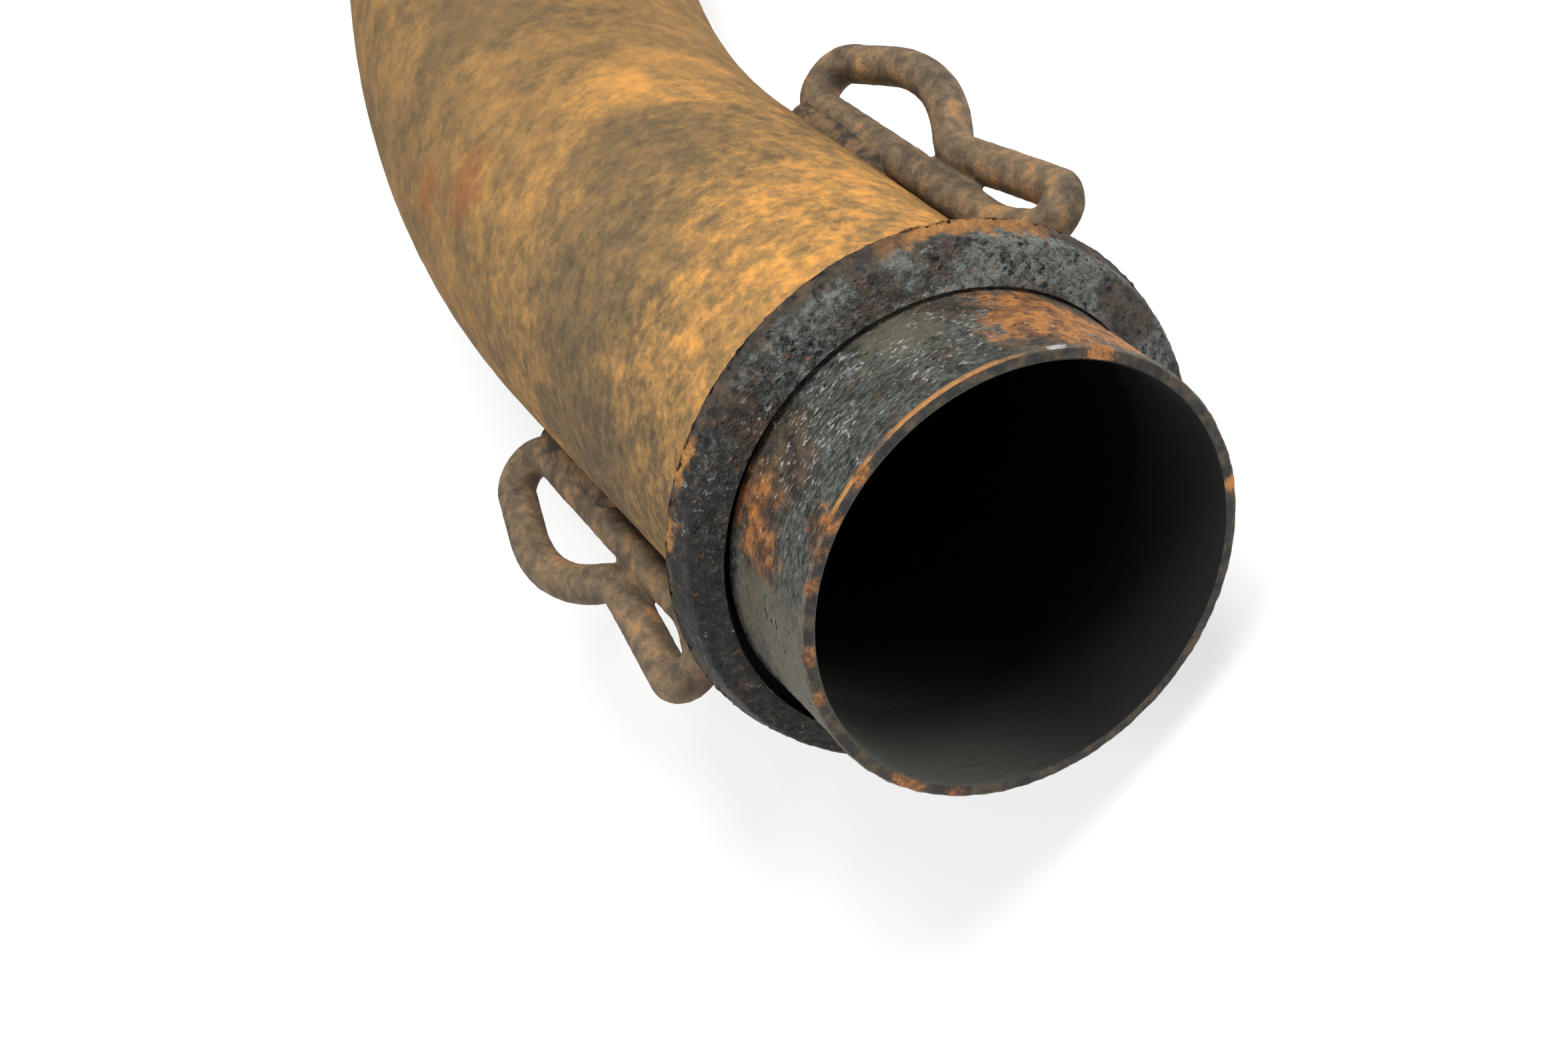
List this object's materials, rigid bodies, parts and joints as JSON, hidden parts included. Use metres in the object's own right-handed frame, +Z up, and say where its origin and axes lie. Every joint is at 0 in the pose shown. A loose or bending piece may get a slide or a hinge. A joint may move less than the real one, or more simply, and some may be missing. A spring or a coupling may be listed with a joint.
{
  "type": "corroded exhaust pipe",
  "caption": "Rusted steel exhaust pipe with a bend, a welded stop ring near its mouth and two bent wire hanger hooks on opposite sides",
  "frame": {"origin": "Centre of the pipe's mouth. The floor that the pipe lies on is 32.0 mm below it.", "axes": "+X is the way the mouth looks, level with the floor (the short leg itself climbs towards the mouth by 2.2 degrees); +Y is the side that the pipe bends to behind the mouth; +Z is up as the pipe lies unheld on a floor."},
  "size_m": [0.4294, 0.2957, 0.0627],
  "materials": {
    "rusty_tube": "orange and brown rust in blotches, with grey scale by the mouth",
    "scaled_ring": "blue-black pitted scale with specks of bright metal",
    "rusty_weld": "brown crusted weld bead",
    "rusty_wire": "grey-brown rust film on bent wire"
  },
  "bodies": {
    "root": {"exhaust_pipe": "rusty_tube", "stop_ring": "scaled_ring", "ring_weld": "rusty_weld", "inner_hook": "rusty_wire", "outer_hook": "rusty_wire", "inner_root_weld": "rusty_weld", "outer_root_weld": "rusty_weld"}
  },
  "joints": []
}
